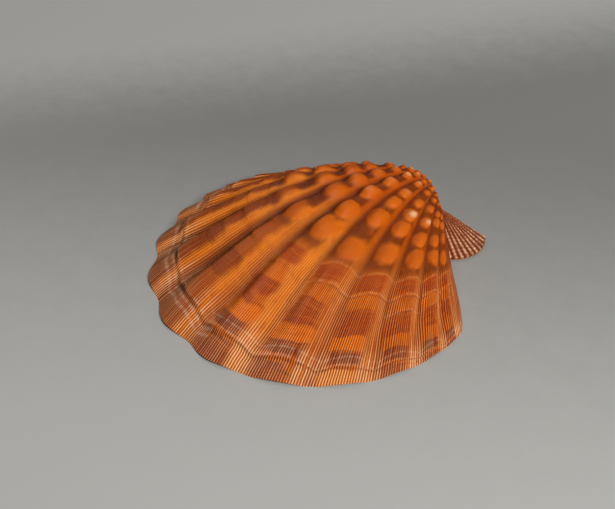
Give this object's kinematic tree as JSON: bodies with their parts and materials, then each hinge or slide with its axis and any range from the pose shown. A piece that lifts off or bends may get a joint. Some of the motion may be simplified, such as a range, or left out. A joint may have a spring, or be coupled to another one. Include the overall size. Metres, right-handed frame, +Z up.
{
  "type": "scallop shell valve",
  "caption": "One domed valve of a lion's-paw scallop with broad knobbed ribs, fine radial cords and two flat ears, resting convex side up.",
  "frame": {"origin": "middle of the bounding box's bottom face, on the surface the margin rests on", "axes": "+Z up out of the convex side, +Y towards the hinge and beak, +X towards the longer ear"},
  "size_m": [0.1336, 0.1332, 0.0295],
  "materials": {
    "shell": "satin shell, burnt orange with red-brown blotches on the ribs and pale cords"
  },
  "bodies": {
    "root": {"shell_valve": "shell"}
  },
  "joints": []
}
